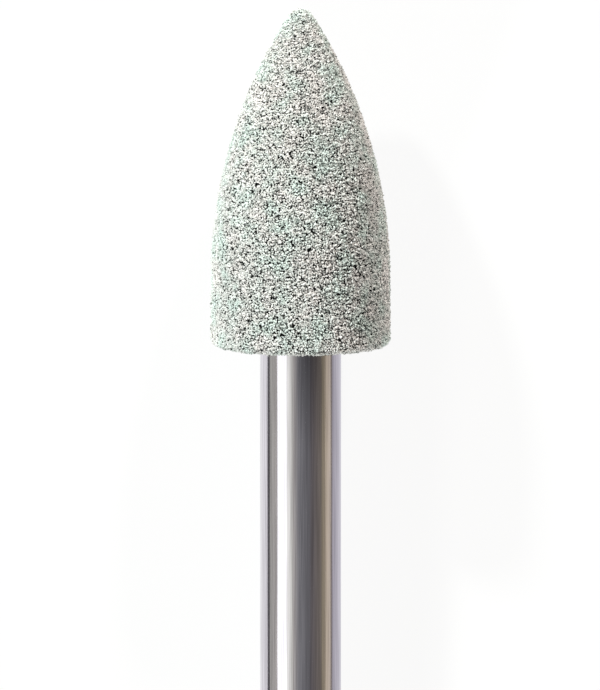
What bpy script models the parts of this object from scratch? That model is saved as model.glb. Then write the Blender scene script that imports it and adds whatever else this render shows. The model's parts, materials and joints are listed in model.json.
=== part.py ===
"""Ceramic polishing point: a bullet-shaped bonded abrasive head on a plain steel mandrel.

Run it with: blender --background --python part.py
Units are metres and +Z is up. Both pieces are turned about Z in a tool frame, with the end of the
shank at z = 0 and the tip on top. An empty then lays that frame down as the real point comes to
rest on a table, on the rim of its head and the edge of its shank's end, with the tip towards +Y.
"""

import math

import bmesh
import bpy

MM = 0.001

# Abrasive head, measured up from its flat base
HEAD_DIAMETER = 5.2 * MM
HEAD_LENGTH = 9.8 * MM
BARREL_LENGTH = 2.0 * MM
MOULD_DRAFT = math.radians(0.3)
TIP_RADIUS = 0.4 * MM
RIM_RADIUS = 0.2 * MM

# Mandrel, a 2.35 mm handpiece shank whose upper end is cemented into the head
SHANK_DIAMETER = 2.35 * MM
SHANK_LENGTH = 34.7 * MM
END_CHAMFER = 0.25 * MM
TANG_LENGTH = 5.6 * MM
TANG_CHAMFER = 0.2 * MM

# Annular grooves that key the tang into the cement
GROOVE_COUNT = 3
GROOVE_WIDTH = 0.5 * MM
GROOVE_DEPTH = 0.12 * MM
GROOVE_PITCH = 1.3 * MM
FIRST_GROOVE_HEIGHT = 1.2 * MM

# Film of cement between the tang and the head, which the bore leaves room for
CEMENT_FILM = 0.05 * MM
DRILL_POINT_ANGLE = math.radians(118)

# Facets round the axis (multiples of four, so that a corner points down and to each side)
# and along each arc
HEAD_SIDES = 64
MANDREL_SIDES = 48
OGIVE_STEPS = 20
TIP_STEPS = 5
RIM_STEPS = 5

MERGE_DISTANCE = 1e-7
SHARP_ANGLE = math.radians(30)

# Colours as sRGB hex
ABRASIVE_COLOUR = "B9BCB4"
STEEL_COLOUR = "CFCDCB"


def linear(channel):
    """One sRGB channel from 0 to 1, as a linear value."""
    if channel <= 0.04045:
        return channel / 12.92
    return ((channel + 0.055) / 1.055) ** 2.4


def make_material(name, colour, metallic, roughness):
    material = bpy.data.materials.new(name)
    material.use_nodes = True
    channels = [linear(int(colour[i : i + 2], 16) / 255) for i in (0, 2, 4)]
    shader = material.node_tree.nodes["Principled BSDF"]
    shader.inputs["Base Color"].default_value = (*channels, 1.0)
    shader.inputs["Metallic"].default_value = metallic
    shader.inputs["Roughness"].default_value = roughness
    return material


def arc(centre, radius, start, end, steps):
    """Points (r, z) from one angle to another; zero points away from the axis, and up is 90."""
    points = []
    for i in range(steps + 1):
        angle = start + (end - start) * i / steps
        points.append((centre[0] + radius * math.cos(angle), centre[1] + radius * math.sin(angle)))
    return points


def head_outline():
    """Outer side of the head from the pole of its tip to the foot of its rim, as (r, z)."""
    base_radius = HEAD_DIAMETER / 2
    outward = (math.cos(MOULD_DRAFT), math.sin(MOULD_DRAFT))

    # The barrel leans in by the draft; the ogive is tangent to its top and to the round tip
    shoulder = (base_radius - BARREL_LENGTH * math.tan(MOULD_DRAFT), BARREL_LENGTH)
    tip_centre = (0.0, HEAD_LENGTH - TIP_RADIUS)
    rise = (shoulder[0] - tip_centre[0], shoulder[1] - tip_centre[1])
    reach = rise[0] * outward[0] + rise[1] * outward[1]
    ogive_radius = (rise[0] ** 2 + rise[1] ** 2 - TIP_RADIUS**2) / (2 * (reach - TIP_RADIUS))
    ogive_centre = (
        shoulder[0] - ogive_radius * outward[0],
        shoulder[1] - ogive_radius * outward[1],
    )
    meeting = math.atan2(tip_centre[1] - ogive_centre[1], tip_centre[0] - ogive_centre[0])

    # The rim's round is tangent to the barrel's side and to the flat base
    rim_centre = (
        base_radius - RIM_RADIUS * (1 + math.sin(MOULD_DRAFT)) / math.cos(MOULD_DRAFT),
        RIM_RADIUS,
    )
    tip = arc(tip_centre, TIP_RADIUS, math.pi / 2, meeting, TIP_STEPS)
    ogive = arc(ogive_centre, ogive_radius, meeting, MOULD_DRAFT, OGIVE_STEPS)
    rim = arc(rim_centre, RIM_RADIUS, MOULD_DRAFT, -math.pi / 2, RIM_STEPS)
    return [(0.0, HEAD_LENGTH), *tip[1:], *ogive[1:], *rim]


def head_section():
    """Closed half section of the head in the tool frame: its outer side, base and blind bore."""
    bore_radius = SHANK_DIAMETER / 2 + CEMENT_FILM
    bore_depth = TANG_LENGTH + CEMENT_FILM
    point_depth = bore_radius / math.tan(DRILL_POINT_ANGLE / 2)
    bore = [(bore_radius, 0.0), (bore_radius, bore_depth), (0.0, bore_depth + point_depth)]
    return [(r, z + SHANK_LENGTH) for r, z in head_outline() + bore]


def mandrel_outline():
    """Outer side of the mandrel from its top to the edge of its lower end, as (r, z)."""
    radius = SHANK_DIAMETER / 2
    top = SHANK_LENGTH + TANG_LENGTH
    points = [(0.0, top), (radius - TANG_CHAMFER, top), (radius, top - TANG_CHAMFER)]
    for i in reversed(range(GROOVE_COUNT)):
        middle = SHANK_LENGTH + FIRST_GROOVE_HEIGHT + GROOVE_PITCH * i
        upper = middle + GROOVE_WIDTH / 2
        lower = middle - GROOVE_WIDTH / 2
        floor = radius - GROOVE_DEPTH
        points += [
            (radius, upper),
            (floor, upper - GROOVE_DEPTH),
            (floor, lower + GROOVE_DEPTH),
            (radius, lower),
        ]
    return points + [(radius, END_CHAMFER), (radius - END_CHAMFER, 0.0)]


def turn(name, section, sides, material, parent):
    """Spins a section that starts and ends on the axis into one closed solid."""
    bm = bmesh.new()
    line = [bm.verts.new((r, 0.0, z)) for r, z in section]
    edges = [bm.edges.new(pair) for pair in zip(line, line[1:])]
    bmesh.ops.spin(
        bm,
        geom=line + edges,
        cent=(0, 0, 0),
        axis=(0, 0, 1),
        angle=math.tau,
        steps=sides,
        use_merge=True,
    )
    bmesh.ops.remove_doubles(bm, verts=bm.verts, dist=MERGE_DISTANCE)
    bmesh.ops.recalc_face_normals(bm, faces=bm.faces)

    mesh = bpy.data.meshes.new(name)
    bm.to_mesh(mesh)
    bm.free()
    mesh.shade_smooth()
    mesh.set_sharp_from_angle(angle=SHARP_ANGLE)
    mesh.materials.append(material)

    piece = bpy.data.objects.new(name, mesh)
    bpy.context.scene.collection.objects.link(piece)
    piece.parent = parent
    return piece


def resting_place():
    """Lean of the axis above the table, and the place of the shank's end, for a point lying down.

    It touches the table at the rim of its head and at the upper edge of the shank's end chamfer.
    """
    edge_radius = SHANK_DIAMETER / 2
    lean = max(
        math.atan2(r - edge_radius, SHANK_LENGTH + z - END_CHAMFER) for r, z in head_outline()
    )
    height = edge_radius * math.cos(lean) - END_CHAMFER * math.sin(lean)

    # The middle of the outline seen from above is at the origin
    rear = -(edge_radius - END_CHAMFER) * math.sin(lean)
    front = (SHANK_LENGTH + HEAD_LENGTH - TIP_RADIUS) * math.cos(lean) + TIP_RADIUS
    return lean, (0.0, -(rear + front) / 2, height)


def main():
    for old in list(bpy.data.objects):
        bpy.data.objects.remove(old)

    lean, place = resting_place()
    tool_frame = bpy.data.objects.new("tool_frame", None)
    bpy.context.scene.collection.objects.link(tool_frame)
    tool_frame.location = place
    tool_frame.rotation_euler = (lean - math.pi / 2, 0.0, 0.0)

    abrasive = make_material("ceramic_bonded_abrasive", ABRASIVE_COLOUR, 0.0, 0.9)
    steel = make_material("polished_stainless_steel", STEEL_COLOUR, 1.0, 0.12)
    turn("abrasive_head", head_section(), HEAD_SIDES, abrasive, tool_frame)
    turn("mandrel", mandrel_outline() + [(0.0, 0.0)], MANDREL_SIDES, steel, tool_frame)


main()
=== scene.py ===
# %% [markdown]
# # A ceramic polishing point on a white table
#
# The real tool is two pieces: a bullet of abrasive grit held in a porous ceramic bond, and a
# polished steel mandrel whose keyed end is cemented into it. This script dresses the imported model
# of it. Each step first says what a piece or a finish is on the real tool, then builds it.

import json
import math

import bmesh
import bpy
from mathutils import Euler, Matrix, Vector


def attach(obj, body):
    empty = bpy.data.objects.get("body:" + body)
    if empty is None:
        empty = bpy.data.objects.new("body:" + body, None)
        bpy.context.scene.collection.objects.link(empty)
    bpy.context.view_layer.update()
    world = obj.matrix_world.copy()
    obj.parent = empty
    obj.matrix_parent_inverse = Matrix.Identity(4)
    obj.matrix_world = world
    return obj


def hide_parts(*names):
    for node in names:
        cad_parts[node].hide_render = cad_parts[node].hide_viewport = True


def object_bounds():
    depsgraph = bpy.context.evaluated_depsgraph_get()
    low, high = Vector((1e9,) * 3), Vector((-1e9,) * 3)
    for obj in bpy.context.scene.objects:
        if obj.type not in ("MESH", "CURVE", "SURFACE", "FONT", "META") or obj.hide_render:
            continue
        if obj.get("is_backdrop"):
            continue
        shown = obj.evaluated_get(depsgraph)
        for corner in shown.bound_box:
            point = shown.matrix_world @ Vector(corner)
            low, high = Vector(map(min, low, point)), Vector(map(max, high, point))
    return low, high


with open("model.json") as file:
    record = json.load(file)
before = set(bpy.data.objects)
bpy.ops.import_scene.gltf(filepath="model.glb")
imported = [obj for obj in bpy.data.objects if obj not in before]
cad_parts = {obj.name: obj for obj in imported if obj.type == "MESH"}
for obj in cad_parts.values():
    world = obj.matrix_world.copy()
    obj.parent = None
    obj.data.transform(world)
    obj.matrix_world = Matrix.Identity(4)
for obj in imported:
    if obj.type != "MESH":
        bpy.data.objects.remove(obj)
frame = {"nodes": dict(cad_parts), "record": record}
cad_low, cad_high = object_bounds()
print("nodes:", ", ".join(frame["nodes"]))

# %% [markdown]
# ## Sizes
#
# The tool lies on the rim of its head and on the end of its shank, so its axis leans a little.
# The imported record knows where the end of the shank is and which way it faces. From these two
# facts comes a tool frame, with the shank's end at z = 0 and the tip on top, in which both pieces
# are easy to describe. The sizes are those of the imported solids.

# %% Sizes and the tool frame
MM = 0.001

HEAD_DIAMETER = 5.2 * MM
HEAD_LENGTH = 9.8 * MM
BARREL_LENGTH = 2.0 * MM
MOULD_DRAFT = math.radians(0.3)
TIP_RADIUS = 0.4 * MM
RIM_RADIUS = 0.2 * MM

SHANK_DIAMETER = 2.35 * MM
SHANK_LENGTH = 34.7 * MM
END_CHAMFER = 0.25 * MM
TANG_LENGTH = 5.6 * MM
TANG_CHAMFER = 0.2 * MM
GROOVE_COUNT = 3
GROOVE_WIDTH = 0.5 * MM
GROOVE_DEPTH = 0.12 * MM
GROOVE_PITCH = 1.3 * MM
FIRST_GROOVE_HEIGHT = 1.2 * MM

CEMENT_FILM = 0.05 * MM
DRILL_POINT_ANGLE = math.radians(118)

shank_end = next(m for m in frame["record"]["mounts"] if m["name"] == "shank_end")
foot = Vector(shank_end["pos_m"])
tipward = -Vector(shank_end["axis"]).normalized()
lean = math.asin(tipward.z)
lying = Euler((lean - math.pi / 2, 0.0, 0.0))
head_base = foot + tipward * SHANK_LENGTH
print(f"axis leans {math.degrees(lean):.2f} degrees; head starts {head_base.z / MM:.2f} mm up")

# %% [markdown]
# ## Two helpers
#
# Colours are written as sRGB hex, as a colour picker shows them, and turned into the linear
# values that the renderer works with. `add` puts a node into any tree, sets its properties and
# fills or links its inputs, so that a tree reads from top to bottom like a recipe.

# %% Colour and node helpers
def linear(code, strength=1.0):
    """An sRGB hex colour as linear RGBA, times a strength."""
    channels = []
    for i in (0, 2, 4):
        value = int(code[i : i + 2], 16) / 255
        value = value / 12.92 if value <= 0.04045 else ((value + 0.055) / 1.055) ** 2.4
        channels.append(value * strength)
    return (*channels, 1.0)


def add(tree, kind, inputs=None, **settings):
    """Adds a node. An input is named or counted, and takes a value, a node, a socket or a list."""
    node = tree.nodes.new(kind)
    for name, value in settings.items():
        setattr(node, name, value)
    sockets = [s for s in node.inputs if s.enabled]
    for key, given in (inputs or {}).items():
        socket = sockets[key] if isinstance(key, int) else next(s for s in sockets if s.name == key)
        for value in given if isinstance(given, list) else [given]:
            if isinstance(value, bpy.types.Node):
                value = next(s for s in value.outputs if s.enabled)
            if isinstance(value, bpy.types.NodeSocket):
                tree.links.new(value, socket)
            else:
                socket.default_value = value
    return node


print(f"the sRGB grey 808080 is {linear('808080')[0]:.3f} in linear light")

# %% [markdown]
# ## Camera
#
# The photograph looks almost square at the shank, from 7.8 degrees towards the tip, through a
# long lens that shows no perspective. The tool lies down here, so the camera looks down on it,
# with the tip at the top of the picture. The shank's known diameter gives the scale.

# %% Camera
IMAGE_SIZE = (600, 690)
SHANK_WIDTH_PIXELS = 81.3
HEAD_BASE_PIXEL = (300.5, 344.8)
VIEW_TILT = math.radians(7.8)
CAMERA_DISTANCE = 0.4
SENSOR = 36.0

pixel = SHANK_DIAMETER / SHANK_WIDTH_PIXELS
across = Vector((1.0, 0.0, 0.0))
square_on = across.cross(tipward)
back = square_on * math.cos(VIEW_TILT) + tipward * math.sin(VIEW_TILT)
picture_up = back.cross(across)
aim = head_base.copy()
aim -= across * (HEAD_BASE_PIXEL[0] - IMAGE_SIZE[0] / 2) * pixel
aim += picture_up * (HEAD_BASE_PIXEL[1] - IMAGE_SIZE[1] / 2) * pixel

camera = bpy.data.objects.new("camera", bpy.data.cameras.new("camera"))
bpy.context.scene.collection.objects.link(camera)
axes = Matrix((across, picture_up, back)).transposed()
camera.matrix_world = Matrix.Translation(aim + back * CAMERA_DISTANCE) @ axes.to_4x4()
camera.data.sensor_width = SENSOR
camera.data.lens = SENSOR * CAMERA_DISTANCE / (IMAGE_SIZE[1] * pixel)
bpy.context.scene.camera = camera
bpy.context.scene.view_settings.view_transform = "Standard"
print(f"lens {camera.data.lens:.0f} mm, {pixel / MM:.4f} mm to a pixel")

# %% [markdown]
# ## Table and light
#
# Grit shows only where light grazes it, so the head was lit from several low angles in a white
# studio. Three sun lamps stand in for that, because a sun lights the table evenly out to the
# horizon: a main light at the left beyond the tip, a rear light at the left towards the shank's
# end, which also reaches the head's flat base, and a warm fill that grazes the right flank. A
# lamp's strength here is the share of full brightness that it gives to a white face square to it.

# %% Sun lamps
SUN_ANGLE = math.radians(5)  # how wide a sun looks, which softens its shadows
LAMPS = [
    # name, strength, colour, degrees to the right of straight above, degrees towards the tip
    ("main_light", 1.05, "FAFFFC", -50, 45),
    ("rear_light", 0.66, "FCFFFC", -46, -60),
    ("warm_fill", 0.64, "FFF4EC", 41, 61),
]


def light_from(name, strength, colour, sideways, upward):
    """A sun lamp, swung sideways and up the picture by two angles. Reflections don't see it."""
    lamp = bpy.data.lights.new(name, "SUN")
    lamp.energy = strength * math.pi
    lamp.color = linear(colour)[:3]
    lamp.angle = SUN_ANGLE
    holder = bpy.data.objects.new(name, lamp)
    bpy.context.scene.collection.objects.link(holder)
    sideways, upward = math.radians(sideways), math.radians(upward)
    level = square_on * math.cos(sideways) + across * math.sin(sideways)
    towards = level * math.cos(upward) + tipward * math.sin(upward)
    holder.rotation_euler = towards.to_track_quat("Z", "Y").to_euler()
    holder.visible_glossy = False


for lamp in LAMPS:
    light_from(*lamp)
print(len(LAMPS), "sun lamps")

# %% [markdown]
# A white background could be had from more light, but that would burn out the tool too. Here the
# world tells by the Light Path node what kind of ray has met it: a ray that looks straight at it,
# or by way of a reflection, sees white, and scattered light finds it much dimmer, a little soft
# light from all round.

# %% World
AMBIENT = 0.18


def seen_directly(tree):
    """1 for a ray that comes straight, by a reflection or through glass, 0 if scattered."""
    path = add(tree, "ShaderNodeLightPath")
    reflected = add(tree, "ShaderNodeMath",
                    {0: path.outputs["Is Camera Ray"], 1: path.outputs["Is Glossy Ray"]},
                    operation="MAXIMUM")
    return add(tree, "ShaderNodeMath", {0: reflected, 1: path.outputs["Is Transmission Ray"]},
               operation="MAXIMUM")


world = bpy.data.worlds.new("white_studio")
bpy.context.scene.world = world
world.use_nodes = True
sky = world.node_tree
sky.nodes.clear()
sky_strength = add(sky, "ShaderNodeMath", {0: seen_directly(sky), 1: 1 - AMBIENT, 2: AMBIENT},
                   operation="MULTIPLY_ADD")
background = add(sky, "ShaderNodeBackground",
                 {"Color": linear("FFFFFF"), "Strength": sky_strength})
add(sky, "ShaderNodeOutputWorld", {"Surface": background})
print(world.name, "gives", AMBIENT, "of full white as soft light")

# %% [markdown]
# The table is a plain plane, so wide that its far edge meets the white of the world. For a ray
# that looks at it, it is nine parts white glow and one part matt white paint. The glow makes it
# white, and the paint keeps the tool's soft shadow. Scattered light finds only the paint.

# %% Table
TABLE_SIZE = 8.0
TABLE_GLOW = 0.9
TABLE_WHITE = 1.01

table_paint = bpy.data.materials.new("matt_white_table")
table_paint.use_nodes = True
paint = table_paint.node_tree
paint.nodes.clear()
glow_share = add(paint, "ShaderNodeMath", {0: seen_directly(paint), 1: TABLE_GLOW},
                 operation="MULTIPLY")
matt = add(paint, "ShaderNodeBsdfDiffuse", {"Color": linear("F2F2F0")})
glow = add(paint, "ShaderNodeEmission", {"Color": linear("FFFFFF"), "Strength": TABLE_WHITE})
mixed = add(paint, "ShaderNodeMixShader", {0: glow_share, 1: matt, 2: glow})
add(paint, "ShaderNodeOutputMaterial", {"Surface": mixed})
table_paint.cycles.emission_sampling = "NONE"

bpy.ops.mesh.primitive_plane_add(size=TABLE_SIZE)
table = bpy.context.object
table.name = "white_table"
table.data.materials.append(table_paint)
table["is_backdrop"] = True
print("white table", TABLE_SIZE, "m across")

# %% [markdown]
# ## What the polished shank mirrors
#
# A polished round bar shows its surroundings as stripes along it. A photographer sets them with
# cards beside the bar: here a grey card and a long white softbox at the left, the dark side of
# the room above, a warm card at the right, and near each edge a narrow dark flag that draws the
# dark line inside the bright edge. The stripes could be painted on the shank, but paint keeps
# its place when the tool is seen from another side, and reflections don't. So the cards are real
# meshes round it.
#
# Each card is given by the stripe that it makes, from and to a share of the shank's radius. A ray
# that arrives along the line of sight at the share s of the radius leaves at twice the angle
# asin(s), which says where the card has to stand. A card that would lie below the table stops
# just above it.

# %% Where a card stands
CARD_RADIUS = 9.2 * MM
WAY_TO_TABLE = 0.98  # how far a card goes along a ray that would meet the table


def card_point(share, along):
    """Where the ray mirrored at a share of the radius meets the ring of cards, or the table."""
    centre = foot + tipward * along
    # Behind the shank's end the axis would sink into the table, so there the cards run level
    centre.z = max(centre.z, foot.z)
    arrival = math.asin(share)
    radius = SHANK_DIAMETER / 2
    start = centre + (square_on * math.cos(arrival) + across * math.sin(arrival)) * radius
    leaving = square_on * math.cos(2 * arrival) + across * math.sin(2 * arrival)
    reach = math.sqrt(CARD_RADIUS**2 - (radius * share) ** 2) - radius * math.cos(arrival)
    if leaving.z < 0:
        reach = min(reach, WAY_TO_TABLE * start.z / -leaving.z)
    return start + leaving * reach


print(f"cards {CARD_RADIUS / MM:.1f} mm from the tool's axis")

# %% [markdown]
# A card is a strip of faces that carries its light as a colour at each corner, so that one
# material serves them all and a card can fade from one colour to another. Close to the head the
# cards are dimmed, a painted shade that darkens the middle of the shank just under the head.

# %% Card mesh
CARDS = [
    # stripe from and to, colour from and to, strength
    (-0.997, -0.812, "FFFFFF", "ECEAEC", 1.0),  # pale room at the left
    (-0.812, -0.755, "5C5A5C", "5C5A5C", 1.0),  # left flag
    (-0.755, -0.566, "AEADA6", "BAB6B0", 1.0),  # grey card
    (-0.566, -0.345, "FFFFFF", "FFFFFF", 1.6),  # softbox
    (-0.345, -0.190, "FFFFF8", "B6B6AE", 1.25),  # its fading edge
    (-0.190, -0.050, "C2BEB8", "868688", 1.0),  # ceiling
    (-0.050, 0.240, "868688", "666567", 1.0),  # dark side of the room
    (0.240, 0.520, "646062", "7A7269", 1.0),  # dark wall
    (0.520, 0.612, "928874", "9A8F7C", 1.0),  # shaded edge of the warm card
    (0.612, 0.740, "CABCA6", "D6C9B8", 1.0),  # warm card
    (0.740, 0.775, "88807A", "88807A", 1.0),  # right flag
    # The pale room at the right is darker, a painted shadow of the tool on the table beside it.
    (0.775, 0.997, "B0ACB4", "E2E0E6", 1.0),  # pale room at the right
]
CARD_STEPS = 12  # faces across a card
CARD_SECTIONS = (
    # place along the tool, share of the dimming
    (-80 * MM, 0.0),
    (0.0, 0.0),
    (30.6 * MM, 0.0),
    (32.2 * MM, 0.6),
    (33.4 * MM, 1.0),
    (80 * MM, 1.0),
)
PAINTED_HEAD_SHADE = 0.52
DIMMEST_STRIPE = 0.22  # as shares of the shank's radius, like the stripes
DIMMED_WIDTH = 0.4

bm = bmesh.new()
light_layer = bm.verts.layers.float_color.new("card_light")
for start, end, first, last, strength in CARDS:
    first, last = Vector(linear(first, strength)), Vector(linear(last, strength))
    rows = []
    for step in range(CARD_STEPS + 1):
        stripe = start + (end - start) * step / CARD_STEPS
        # Near the head each card is darkened, a painted shade under the head in the mirrored
        # stripes.
        painted_shade = PAINTED_HEAD_SHADE * math.exp(-(((stripe - DIMMEST_STRIPE) / DIMMED_WIDTH) ** 2))
        row = []
        for along, near_head in CARD_SECTIONS:
            corner = bm.verts.new(card_point(stripe, along))
            corner[light_layer] = first.lerp(last, step / CARD_STEPS) * (1 - painted_shade * near_head)
            row.append(corner)
        rows.append(row)
    for near, far in zip(rows, rows[1:]):
        for i in range(len(CARD_SECTIONS) - 1):
            bm.faces.new((near[i], near[i + 1], far[i + 1], far[i]))
card_mesh = bpy.data.meshes.new("reflection_cards")
bm.to_mesh(card_mesh)
bm.free()
print(len(CARDS), "cards round the tool,", len(card_mesh.polygons), "faces")

# %% [markdown]
# The cards glow with the colour of their corners. Only mirrored rays see them, so they neither
# light the tool nor shade it, and the camera looks through them.

# %% Card glow
card_glow = bpy.data.materials.new("card_glow")
card_glow.use_nodes = True
card_tree = card_glow.node_tree
card_tree.nodes.clear()
card_light = add(card_tree, "ShaderNodeAttribute", attribute_name="card_light")
glow = add(card_tree, "ShaderNodeEmission", {"Color": card_light})
add(card_tree, "ShaderNodeOutputMaterial", {"Surface": glow})
card_glow.cycles.emission_sampling = "NONE"
card_mesh.materials.append(card_glow)

cards = bpy.data.objects.new("reflection_cards", card_mesh)
bpy.context.scene.collection.objects.link(cards)
cards.visible_camera = False
cards.visible_diffuse = False
cards.visible_transmission = False
cards.visible_volume_scatter = False
cards.visible_shadow = False
cards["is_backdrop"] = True
print(cards.name, "glow for mirrors only")

# %% [markdown]
# ## Outlines
#
# Both pieces are bodies of revolution, so each is one outline turned about the axis. The
# head's outline is four tangent arcs and lines: a small round tip, a long ogive, a nearly
# straight barrel and a rounded rim. Taking the same amount off every radius moves the whole
# outline inward evenly, which gives the layers of the head: the bond lies a little under the
# surface, and the grains fill the layer above it. The mandrel's outline is all straight lines: a
# flat end with a chamfer, the plain shank, and the tang with its grooves. The bore clears the
# tang by the film of cement, and at its mouth the cement closes it to the shank.

# %% Arcs and lines
def arc(centre, radius, start, end, step):
    """Points (r, z) from one angle to another, about one step apart."""
    count = max(2, math.ceil(abs(end - start) * radius / step))
    turns = [start + (end - start) * i / count for i in range(count + 1)]
    return [(centre[0] + radius * math.cos(t), centre[1] + radius * math.sin(t)) for t in turns]


def line(start, end, step):
    """Points (r, z) from one place to another, about one step apart, without the first."""
    count = max(1, math.ceil(math.dist(start, end) / step))
    return [
        (start[0] + (end[0] - start[0]) * i / count, start[1] + (end[1] - start[1]) * i / count)
        for i in range(1, count + 1)
    ]


print("a quarter turn of radius 1 in steps of 0.25:", len(arc((0, 0), 1, 0, math.pi / 2, 0.25)),
      "points")

# %% [markdown]
# The ogive has to be tangent to the barrel and to the tip at once. Its centre lies on the line
# square to the barrel's side at the shoulder, and its distance from the tip's centre is the
# difference of the two radii. Those two conditions give its radius.

# %% Outline of the head
MOUTH_GAP = 0.01 * MM


def head_outline(inset, step):
    """Outer side of the head from its pole to the inner edge of its flat base, moved inward."""
    outward = (math.cos(MOULD_DRAFT), math.sin(MOULD_DRAFT))

    # The barrel leans in by the draft; the ogive is tangent to its top and to the round tip
    shoulder = (HEAD_DIAMETER / 2 - BARREL_LENGTH * math.tan(MOULD_DRAFT), BARREL_LENGTH)
    tip_centre = (0.0, HEAD_LENGTH - TIP_RADIUS)
    rise = (shoulder[0] - tip_centre[0], shoulder[1] - tip_centre[1])
    reach = rise[0] * outward[0] + rise[1] * outward[1]
    ogive_radius = (rise[0] ** 2 + rise[1] ** 2 - TIP_RADIUS**2) / (2 * (reach - TIP_RADIUS))
    ogive_centre = (
        shoulder[0] - ogive_radius * outward[0],
        shoulder[1] - ogive_radius * outward[1],
    )
    meeting = math.atan2(tip_centre[1] - ogive_centre[1], tip_centre[0] - ogive_centre[0])

    # The rim's round is tangent to the barrel's side and to the flat base
    rim_centre = (
        HEAD_DIAMETER / 2 - RIM_RADIUS * (1 + math.sin(MOULD_DRAFT)) / math.cos(MOULD_DRAFT),
        RIM_RADIUS,
    )

    tip = arc(tip_centre, TIP_RADIUS - inset, math.pi / 2, meeting, step)
    ogive = arc(ogive_centre, ogive_radius - inset, meeting, MOULD_DRAFT, step)
    rim = arc(rim_centre, RIM_RADIUS - inset, MOULD_DRAFT, -math.pi / 2, step)
    barrel = line(ogive[-1], rim[0], step)
    mouth = (SHANK_DIAMETER / 2 + MOUTH_GAP, inset)
    base = line(rim[-1], mouth, step)
    outline = [(0.0, HEAD_LENGTH - inset), *tip[1:], *ogive[1:], *barrel, *rim[1:], *base]
    return [(r, z + SHANK_LENGTH) for r, z in outline]


print("head outline in steps of 1 mm:", len(head_outline(0.0, 1.0 * MM)), "points")

# %% [markdown]
# The bore is drilled with a common drill, which leaves a cone at its bottom. The grooves of the
# tang are cut with sloping sides, as a turning tool does, and the cement sets hard in them.

# %% Outlines of the bore and the mandrel
MOUTH_DEPTH = 0.4 * MM


def bore_outline():
    """The blind hole for the tang, narrowed at its mouth by the cement round the shank."""
    mouth = SHANK_DIAMETER / 2 + MOUTH_GAP
    radius = SHANK_DIAMETER / 2 + CEMENT_FILM
    depth = TANG_LENGTH + CEMENT_FILM
    point = radius / math.tan(DRILL_POINT_ANGLE / 2)
    hole = [(mouth, MOUTH_DEPTH), (radius, MOUTH_DEPTH), (radius, depth), (0.0, depth + point)]
    return [(r, z + SHANK_LENGTH) for r, z in hole]


def mandrel_outline():
    """Outer side of the mandrel from the middle of its top to the middle of its lower end."""
    radius = SHANK_DIAMETER / 2
    top = SHANK_LENGTH + TANG_LENGTH
    points = [(0.0, top), (radius - TANG_CHAMFER, top), (radius, top - TANG_CHAMFER)]
    for i in reversed(range(GROOVE_COUNT)):
        middle = SHANK_LENGTH + FIRST_GROOVE_HEIGHT + GROOVE_PITCH * i
        upper = middle + GROOVE_WIDTH / 2
        lower = middle - GROOVE_WIDTH / 2
        floor = radius - GROOVE_DEPTH
        points += [
            (radius, upper),
            (floor, upper - GROOVE_DEPTH),
            (floor, lower + GROOVE_DEPTH),
            (radius, lower),
        ]
    return points + [(radius, END_CHAMFER), (radius - END_CHAMFER, 0.0), (0.0, 0.0)]


print("bore outline:", len(bore_outline()), "points; mandrel outline:",
      len(mandrel_outline()), "points")

# %% [markdown]
# ## Turning
#
# The mandrel is turned and the head is moulded round, and one Geometry Nodes tree makes both. It
# lays a grid with one row for each point of the outline and one column for each side, puts every
# grid point at its outline point, and turns it round the axis by its column. Merging by distance
# then closes the seam and the poles. Every corner of the outline stays a sharp ring, which
# sweeping a resampled curve would lose.

# %% Turning tree
MERGE_DISTANCE = 1e-7


def new_tree(name, **sockets):
    """A geometry tree with a Geometry input first, then the named ones, and its input node."""
    tree = bpy.data.node_groups.new(name, "GeometryNodeTree")
    tree.interface.new_socket("Geometry", in_out="INPUT", socket_type="NodeSocketGeometry")
    for label, kind in sockets.items():
        tree.interface.new_socket(label, in_out="INPUT", socket_type="NodeSocket" + kind)
    tree.interface.new_socket("Geometry", in_out="OUTPUT", socket_type="NodeSocketGeometry")
    return tree, tree.nodes.new("NodeGroupInput").outputs


def make_turning_tree():
    """A tree that turns a mesh of outline points, in order, about the z axis."""
    tree, given = new_tree("turning", Sides="Int", Material="Material")
    size = add(tree, "GeometryNodeAttributeDomainSize", {"Geometry": given["Geometry"]},
               component="MESH")
    points = size.outputs["Point Count"]
    columns = add(tree, "FunctionNodeIntegerMath", {0: given["Sides"], 1: 1}, operation="ADD")
    grid = add(tree, "GeometryNodeMeshGrid", {"Vertices X": columns, "Vertices Y": points})

    number = add(tree, "GeometryNodeInputIndex")
    row = add(tree, "FunctionNodeIntegerMath", {0: number, 1: points}, operation="MODULO")
    column = add(tree, "FunctionNodeIntegerMath", {0: number, 1: points}, operation="DIVIDE_FLOOR")
    turn_share = add(tree, "ShaderNodeMath", {0: column, 1: given["Sides"]}, operation="DIVIDE")
    angle = add(tree, "ShaderNodeMath", {0: turn_share, 1: math.tau}, operation="MULTIPLY")
    outline_point = add(tree, "GeometryNodeSampleIndex",
                        {"Geometry": given["Geometry"],
                         "Value": add(tree, "GeometryNodeInputPosition"),
                         "Index": row},
                        data_type="FLOAT_VECTOR", domain="POINT")
    turned = add(tree, "ShaderNodeVectorRotate", {"Vector": outline_point, "Angle": angle},
                 rotation_type="Z_AXIS")
    placed = add(tree, "GeometryNodeSetPosition", {"Geometry": grid, "Position": turned})
    closed = add(tree, "GeometryNodeMergeByDistance",
                 {"Geometry": placed, "Distance": MERGE_DISTANCE})
    real = add(tree, "GeometryNodeRealizeInstances", {"Geometry": closed})
    finished = add(tree, "GeometryNodeSetMaterial",
                   {"Geometry": real, "Material": given["Material"]})
    add(tree, "NodeGroupOutput", {"Geometry": finished})
    return tree


turning = make_turning_tree()
print(turning.name, "tree:", len(turning.nodes), "nodes")

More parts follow.
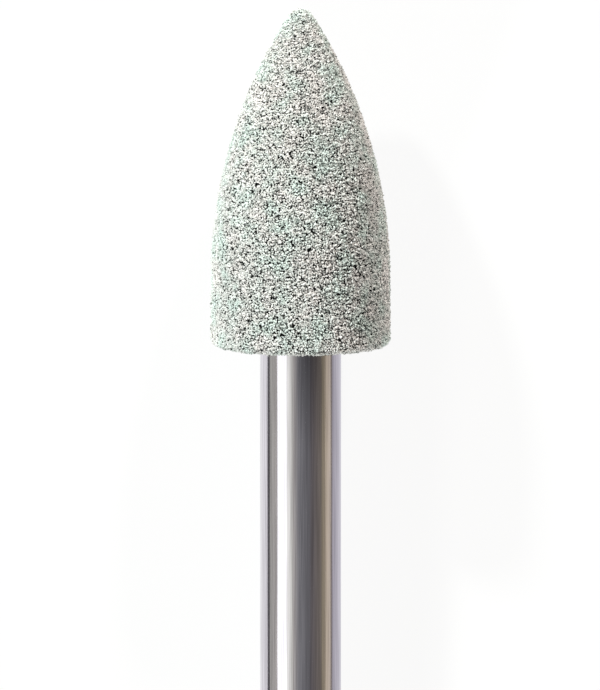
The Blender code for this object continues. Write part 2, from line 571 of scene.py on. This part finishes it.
# %% [markdown]
# A modifier runs a tree on an object. Its inputs are set by the identifier of the socket, and
# only then is the object evaluated and the result kept as a plain mesh, with the modifier gone.
# The grid that a tree starts from brings an empty material slot, so the mesh is left with the
# one slot that its faces use. A turned shape may come out with its faces pointing in, so they
# are all turned outward.

# %% Running a tree
def run(tree, mesh, name, material, **values):
    """The mesh that a tree makes from another mesh, all in one material."""
    values["Material"] = material
    holder = bpy.data.objects.new(name, mesh)
    bpy.context.scene.collection.objects.link(holder)
    modifier = holder.modifiers.new(tree.name, "NODES")
    modifier.node_group = tree
    for socket in tree.interface.items_tree:
        if socket.in_out == "INPUT" and socket.name in values:
            modifier[socket.identifier] = values[socket.name]
    shown = holder.evaluated_get(bpy.context.evaluated_depsgraph_get())
    result = bpy.data.meshes.new_from_object(shown)
    bpy.data.objects.remove(holder)
    result.name = name
    result.materials.clear()
    result.materials.append(material)
    result.polygons.foreach_set("material_index", [0] * len(result.polygons))
    return result


def turned_mesh(name, outline, sides, material):
    """An outline turned about the z axis, with its faces outward."""
    profile = bpy.data.meshes.new(name + "_outline")
    profile.from_pydata([(r, 0.0, z) for r, z in outline], [], [])
    result = run(turning, profile, name, material, Sides=sides)
    bm = bmesh.new()
    bm.from_mesh(result)
    bmesh.ops.recalc_face_normals(bm, faces=bm.faces)
    bm.to_mesh(result)
    bm.free()
    return result


def lay_down(mesh, name):
    """A finished piece, moved in its mesh from the tool frame to its place on the table."""
    mesh.transform(Matrix.LocRotScale(foot, lying, None))
    piece = bpy.data.objects.new(name, mesh)
    bpy.context.scene.collection.objects.link(piece)
    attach(piece, "root")
    print(f"{name}: {sum(len(p.vertices) - 2 for p in mesh.polygons)} triangles")
    return piece


# %% [markdown]
# ## Polished steel
#
# Mandrels are drawn stainless wire, polished. A metal has no colour of its own beneath the
# mirror: the base colour is the tint of the mirror, here a faint cool grey. The low roughness
# keeps the stripes crisp. The drawing die leaves fine lines along the wire that polishing never
# quite removes. Noise stretched along the tool's axis stands in for them. It tints the mirror and
# bends it a little from line to line, and is drawn coarser than the real lines to show at all.

# %% Steel material
STEEL_ROUGHNESS = 0.11
STREAK_WIDTH = 0.045 * MM
STREAK_STRETCH = 60.0
STREAK_HEIGHT = 0.001 * MM
STREAK_BUMP = 0.3
STREAK_DETAIL = 2.0
DARKEST_AT = 0.3  # values of the noise
LIGHTEST_AT = 0.7


def make_polished_steel():
    """A tinted mirror with fine lines along the tool."""
    material = bpy.data.materials.new("drawn_stainless_steel")
    material.use_nodes = True
    tree = material.node_tree
    shader = tree.nodes["Principled BSDF"]
    shader.inputs["Metallic"].default_value = 1.0
    shader.inputs["Roughness"].default_value = STEEL_ROUGHNESS
    place = add(tree, "ShaderNodeTexCoord")
    in_tool = add(tree, "ShaderNodeMapping",
                  {"Vector": place.outputs["Object"], "Rotation": tuple(lying),
                   "Scale": (1.0, 1.0, STREAK_STRETCH)},
                  vector_type="TEXTURE")
    streaks = add(tree, "ShaderNodeTexNoise",
                  {"Vector": in_tool, "Scale": 1 / STREAK_WIDTH, "Detail": STREAK_DETAIL})
    tint = add(tree, "ShaderNodeValToRGB", {"Fac": streaks})
    tint.color_ramp.elements[0].position = DARKEST_AT
    tint.color_ramp.elements[0].color = linear("C8C6CC")
    tint.color_ramp.elements[1].position = LIGHTEST_AT
    tint.color_ramp.elements[1].color = linear("EAE8EE")
    tree.links.new(tint.outputs["Color"], shader.inputs["Base Color"])
    bump = add(tree, "ShaderNodeBump",
               {"Height": streaks, "Strength": STREAK_BUMP, "Distance": STREAK_HEIGHT})
    tree.links.new(bump.outputs["Normal"], shader.inputs["Normal"])
    return material


steel = make_polished_steel()
print(steel.name, "material:", len(steel.node_tree.nodes), "nodes")

# %% [markdown]
# ## Mandrel
#
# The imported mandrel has 48 flat sides, which would break the mirrored stripes. The same outline
# is turned again with sides too fine to see, and shaded smooth up to its sharp rings.

# %% Mandrel
MANDREL_SIDES = 240
SHARP_ANGLE = math.radians(25)

mandrel_mesh = turned_mesh("polished_mandrel", mandrel_outline(), MANDREL_SIDES, steel)
mandrel_mesh.shade_smooth()
mandrel_mesh.set_sharp_from_angle(angle=SHARP_ANGLE)
mandrel = lay_down(mandrel_mesh, "polished_mandrel")
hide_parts("mandrel")

# %% [markdown]
# ## Ceramic bond
#
# Between the grains lies the fired bond, a grey glass full of pores. Its colour here is painted
# nearly black, as painted shade for the depth between the grains. It is the head's outline taken
# in by about one grain and closed by the bore for the tang, so that the head stays a solid body
# behind its grit. Every visible bump of it is a grain, so the bond itself is left smooth. It has
# the refraction of glass, but its pores scatter what they reflect, so it looks dull.

# %% Bond material
GLASS_IOR = 1.5
BOND_ROUGHNESS = 0.95
BOND_CLOUD_SIZE = 0.3 * MM
CLOUD_DETAIL = 3.0


def make_bond():
    """A dull glass painted nearly black, as painted shade for the depth between grains, a little
    uneven in colour.
    """
    material = bpy.data.materials.new("porous_bond_painted_shade")
    material.use_nodes = True
    tree = material.node_tree
    shader = tree.nodes["Principled BSDF"]
    shader.inputs["IOR"].default_value = GLASS_IOR
    shader.inputs["Roughness"].default_value = BOND_ROUGHNESS
    place = add(tree, "ShaderNodeTexCoord")
    clouds = add(tree, "ShaderNodeTexNoise",
                 {"Vector": place.outputs["Object"], "Scale": 1 / BOND_CLOUD_SIZE,
                  "Detail": CLOUD_DETAIL})
    tint = add(tree, "ShaderNodeValToRGB", {"Fac": clouds})
    # These near-black colours are painted shade for the depth between the grains; the real bond is
    # grey.
    tint.color_ramp.elements[0].color = linear("0E0F0F")
    tint.color_ramp.elements[1].color = linear("1E2120")
    tree.links.new(tint.outputs["Color"], shader.inputs["Base Color"])
    return material


bond = make_bond()
print(bond.name, "material:", len(bond.node_tree.nodes), "nodes")

# %% [markdown]
# The body of the bond is turned like the mandrel, in sides and steps about as long as a grain.

# %% Bond body
BOND_INSET = 0.085 * MM
BOND_STEP = 0.09 * MM
BOND_SIDES = 200

bond_outline = head_outline(BOND_INSET, BOND_STEP) + bore_outline()
bond_mesh = turned_mesh("ceramic_bond", bond_outline, BOND_SIDES, bond)
bond_mesh.shade_smooth()
bond_mesh.set_sharp_from_angle(angle=SHARP_ANGLE)
bond_body = lay_down(bond_mesh, "ceramic_bond")
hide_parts("abrasive_head")

# %% [markdown]
# ## Abrasive grains
#
# The grit is crushed fused alumina: angular crystals nearly a tenth of a millimetre across. A
# bump in the material would stay smooth at the head's edge, so the grains are real. A crystal
# has to have few faces, because the head holds nearly forty thousand. Each shape here is a ball
# of only eight triangles whose corners are pushed about by chance, wrapped in its convex hull.
# A few shapes are enough, because every grain is turned and stretched in its own way.

# %% Crystal shapes
CRYSTAL_SHAPES = 8
CRYSTAL_CRUSHING = 0.35


def crystal_shapes(tree):
    """A few crushed crystals of radius 1, as instances to pick from."""
    shapes = []
    for number in range(CRYSTAL_SHAPES):
        ball = add(tree, "GeometryNodeMeshUVSphere", {"Segments": 4, "Rings": 2, "Radius": 1.0})
        shift = add(tree, "FunctionNodeRandomValue",
                    {"Min": (-CRYSTAL_CRUSHING,) * 3, "Max": (CRYSTAL_CRUSHING,) * 3,
                     "Seed": number},
                    data_type="FLOAT_VECTOR")
        crushed = add(tree, "GeometryNodeSetPosition", {"Geometry": ball, "Offset": shift})
        hull = add(tree, "GeometryNodeConvexHull", {"Geometry": crushed})
        shapes.append(add(tree, "GeometryNodeGeometryToInstance", {"Geometry": hull}))
    return add(tree, "GeometryNodeJoinGeometry", {"Geometry": shapes})


print(CRYSTAL_SHAPES, "crystal shapes to pick from")

# %% [markdown]
# Pressed grit lies close, yet no two grains share a place, and Poisson disk points do the same:
# they fall by chance, but never nearer than one spacing. That is half a grain here, so that most
# grains partly cover the next. Here and there one has fallen out and left a deeper pore. All the
# grains would make too heavy a mesh, so the tree runs twice over the same seats, and a coin
# tossed for each seat says which of the two runs keeps it.

# %% Seats for the grains
GRAIN_SPACING = 0.046 * MM
SEATS_TRIED = 5.0  # for each square of one spacing; most are refused as too near
MISSING_SHARE = 0.025
HALF_SEED = 21
MISSING_SEED = 22


def grain_seats(tree, given):
    """Points at least a spacing apart, of which each of the two runs keeps its own half."""
    area = add(tree, "ShaderNodeMath", {0: given["Spacing"], 1: 2.0}, operation="POWER")
    density = add(tree, "ShaderNodeMath", {0: SEATS_TRIED, 1: area}, operation="DIVIDE")
    seats = add(tree, "GeometryNodeDistributePointsOnFaces",
                {"Mesh": given["Geometry"], "Distance Min": given["Spacing"],
                 "Density Max": density, "Seed": given["Seed"]},
                distribute_method="POISSON")
    coin = add(tree, "FunctionNodeRandomValue", {"Probability": 0.5, "Seed": HALF_SEED},
               data_type="BOOLEAN")
    other_half = add(tree, "FunctionNodeBooleanMath", {0: coin, 1: given["SecondRun"]},
                     operation="XOR")
    missing = add(tree, "FunctionNodeRandomValue",
                  {"Probability": MISSING_SHARE, "Seed": MISSING_SEED}, data_type="BOOLEAN")
    unused = add(tree, "FunctionNodeBooleanMath", {0: other_half, 1: missing}, operation="OR")
    return add(tree, "GeometryNodeDeleteGeometry", {"Geometry": seats, "Selection": unused},
               domain="POINT")


print(f"seats at least {GRAIN_SPACING / MM:.3f} mm apart")

# %% [markdown]
# A grain may stand a little higher or lower than its neighbours. Its seat is remembered before it
# is lifted, so that the finished tree can measure how far each corner stands above it, which the
# grain's material needs. `facing` is the way out of the head, stored on the mesh of the seats.

# %% Setting the grains
SMALLEST_RADIUS = 0.36  # as shares of the Size input
LARGEST_RADIUS = 0.56
TURN_SEED = 11
STRETCH_SEED = 12
TONE_SEED = 13
LIFT_SEED = 23


def set_grains(tree, given, seats, crystals):
    """A crystal at every seat, lifted, turned and stretched by chance, as a real mesh."""
    here = add(tree, "GeometryNodeInputPosition")
    remembered = add(tree, "GeometryNodeStoreNamedAttribute",
                     {"Geometry": seats, "Name": "seat", "Value": here},
                     data_type="FLOAT_VECTOR", domain="POINT")
    facing = add(tree, "GeometryNodeInputNamedAttribute", {"Name": "facing"},
                 data_type="FLOAT_VECTOR")
    lift = add(tree, "FunctionNodeRandomValue", {"Min": -1.0, "Max": 1.0, "Seed": LIFT_SEED},
               data_type="FLOAT")
    height = add(tree, "ShaderNodeMath", {0: lift, 1: given["Unevenness"]}, operation="MULTIPLY")
    rise = add(tree, "ShaderNodeVectorMath", {0: facing, "Scale": height}, operation="SCALE")
    uneven = add(tree, "GeometryNodeSetPosition", {"Geometry": remembered, "Offset": rise})

    turn = add(tree, "FunctionNodeRandomValue",
               {"Min": (0.0,) * 3, "Max": (math.tau,) * 3, "Seed": TURN_SEED},
               data_type="FLOAT_VECTOR")
    stretch = add(tree, "FunctionNodeRandomValue",
                  {"Min": (SMALLEST_RADIUS,) * 3, "Max": (LARGEST_RADIUS,) * 3,
                   "Seed": STRETCH_SEED},
                  data_type="FLOAT_VECTOR")
    scale = add(tree, "ShaderNodeVectorMath", {0: stretch, "Scale": given["Size"]},
                operation="SCALE")
    grains = add(tree, "GeometryNodeInstanceOnPoints",
                 {"Points": uneven, "Instance": crystals, "Pick Instance": True,
                  "Rotation": turn, "Scale": scale})
    tone = add(tree, "FunctionNodeRandomValue", {"Min": 0.0, "Max": 1.0, "Seed": TONE_SEED},
               data_type="FLOAT")
    toned = add(tree, "GeometryNodeStoreNamedAttribute",
                {"Geometry": grains, "Name": "grain_tone", "Value": tone},
                data_type="FLOAT", domain="INSTANCE")
    real = add(tree, "GeometryNodeRealizeInstances", {"Geometry": toned})

    seat = add(tree, "GeometryNodeInputNamedAttribute", {"Name": "seat"},
               data_type="FLOAT_VECTOR")
    from_seat = add(tree, "ShaderNodeVectorMath", {0: here, 1: seat}, operation="SUBTRACT")
    above = add(tree, "ShaderNodeVectorMath", {0: from_seat, 1: facing}, operation="DOT_PRODUCT")
    return add(tree, "GeometryNodeStoreNamedAttribute",
               {"Geometry": real, "Name": "above_seat", "Value": above.outputs["Value"]},
               data_type="FLOAT", domain="POINT")


# %% [markdown]
# The whole tree is these three steps in a row. What only the steps need, the remembered seat and
# the way out, is taken off again. The faces stay flat, because a broken crystal has sharp edges.

# %% Grain tree
def make_grain_tree():
    """A tree that covers a mesh with one half of the grains."""
    tree, given = new_tree("abrasive_grains", Spacing="Float", Size="Float", Unevenness="Float",
                           SecondRun="Bool", Seed="Int", Material="Material")
    shape = set_grains(tree, given, grain_seats(tree, given), crystal_shapes(tree))
    for name in ("seat", "facing"):
        shape = add(tree, "GeometryNodeRemoveAttribute", {"Geometry": shape, "Name": name})
    flat = add(tree, "GeometryNodeSetShadeSmooth", {"Geometry": shape, "Shade Smooth": False})
    finished = add(tree, "GeometryNodeSetMaterial",
                   {"Geometry": flat, "Material": given["Material"]})
    add(tree, "NodeGroupOutput", {"Geometry": finished})
    return tree


grain_tree = make_grain_tree()
print(grain_tree.name, "tree:", len(grain_tree.nodes), "nodes")

# %% [markdown]
# The fired grit is almost white, with soft clouds of faint mint and faint rose, and every grain
# is a little lighter or darker than its neighbour. Alumina refracts more strongly than glass, and
# its broken faces are dull, so a grain has a soft sheen and no sparkle. The bond has crept up the
# lower flanks of the grains, and there its near-black colour is also painted shade between the
# grains, which darkens each grain towards its seat and makes each one stand out.
# Noise in space could draw such spots too, but it would cut across the grains. So the shade is
# one number for each grain, and the coating, with its painted shade, follows the height above
# each grain's own seat.

# %% Grain material
ALUMINA_IOR = 1.76
GRIT_ROUGHNESS = 0.6
CLOUD_SIZE = 0.7 * MM
ROSE_BELOW = 0.36  # values of the noise, with a neutral white half-way
MINT_ABOVE = 0.64
DARKER_SHARE = 0.08  # of all grains
COATED_AND_SHADED_BELOW = -0.024 * MM
CLEAN_AND_UNSHADED_ABOVE = 0.004 * MM


def make_grit():
    """Fired alumina, tinted by clouds, shaded by grain, and dark towards its seat where the bond
    coats it, which is also painted shade between the grains.
    """
    material = bpy.data.materials.new("fired_alumina_grit")
    material.use_nodes = True
    tree = material.node_tree
    shader = tree.nodes["Principled BSDF"]
    shader.inputs["IOR"].default_value = ALUMINA_IOR
    shader.inputs["Roughness"].default_value = GRIT_ROUGHNESS
    place = add(tree, "ShaderNodeTexCoord")
    clouds = add(tree, "ShaderNodeTexNoise",
                 {"Vector": place.outputs["Object"], "Scale": 1 / CLOUD_SIZE,
                  "Detail": CLOUD_DETAIL})
    tints = add(tree, "ShaderNodeValToRGB", {"Fac": clouds})
    tints.color_ramp.elements[0].position = ROSE_BELOW
    tints.color_ramp.elements[0].color = linear("F9F7F5")
    tints.color_ramp.elements[1].position = MINT_ABOVE
    tints.color_ramp.elements[1].color = linear("EDF9F4")
    tints.color_ramp.elements.new(0.5).color = linear("F4F7F4")
    tone = add(tree, "ShaderNodeAttribute", attribute_name="grain_tone")
    shades = add(tree, "ShaderNodeValToRGB", {"Fac": tone.outputs["Fac"]})
    shades.color_ramp.elements[0].color = linear("7C827E")
    shades.color_ramp.elements[1].color = linear("FFFFFF")
    shades.color_ramp.elements.new(DARKER_SHARE).color = linear("DCDCDA")
    toned = add(tree, "ShaderNodeMix", {"Factor": 1.0, "A": tints, "B": shades},
                data_type="RGBA", blend_type="MULTIPLY")
    height = add(tree, "ShaderNodeAttribute", attribute_name="above_seat")
    clean_and_unshaded = add(tree, "ShaderNodeMapRange",
                {"Value": height.outputs["Fac"], "From Min": COATED_AND_SHADED_BELOW,
                 "From Max": CLEAN_AND_UNSHADED_ABOVE})
    # The near-black 2A2E2C is the bond's coat on the flanks and also painted shade between the
    # grains.
    coated_and_shaded = add(tree, "ShaderNodeMix", {"Factor": clean_and_unshaded, "A": linear("2A2E2C"), "B": toned},
                 data_type="RGBA")
    tree.links.new(next(s for s in coated_and_shaded.outputs if s.enabled), shader.inputs["Base Color"])
    return material


grit = make_grit()
print(grit.name, "material:", len(grit.node_tree.nodes), "nodes")

# %% [markdown]
# The seats lie on the head's own outline, taken in by half as much as the bond, so that a common
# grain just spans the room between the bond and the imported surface. They cover the flat base
# too, up to the shank. On the real head the bond grips every grain. Here four in ten reach into
# it and most of the others are joined to one that does, but about six in a hundred hang clear by
# up to about a twentieth of a millimetre, which is too little to see. The mesh of the seats is
# only a guide, and the way out of the head is stored on it for the tree.

# %% Grains on the head
GRAIN_SEAT = 0.042 * MM
GRAIN_SIZE = 0.099 * MM
GRAIN_UNEVENNESS = 0.026 * MM
SEAT_STEP = 0.1 * MM
SEAT_SIDES = 160
SEATS_SEED = 3

seat_mesh = turned_mesh("grain_seat", head_outline(GRAIN_SEAT, SEAT_STEP), SEAT_SIDES, grit)
facing = seat_mesh.attributes.new("facing", "FLOAT_VECTOR", "POINT")
facing.data.foreach_set("vector", [c for v in seat_mesh.vertices for c in v.normal])
for name, second_run in (("abrasive_grains", False), ("more_abrasive_grains", True)):
    mesh = run(grain_tree, seat_mesh, name, grit, Spacing=GRAIN_SPACING, Size=GRAIN_SIZE,
               Unevenness=GRAIN_UNEVENNESS, SecondRun=second_run, Seed=SEATS_SEED)
    grains = lay_down(mesh, name)
    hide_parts("abrasive_head")

# %% [markdown]
# ## Measuring
#
# The dressed tool should fill the same box as the imported solids.

# %% Sizes of the dressed tool
low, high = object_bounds()
apart = max(abs(a - b) for a, b in zip((*low, *high), (*cad_low, *cad_high)))
print(f"the two boxes agree to {apart / MM:.3f} mm")
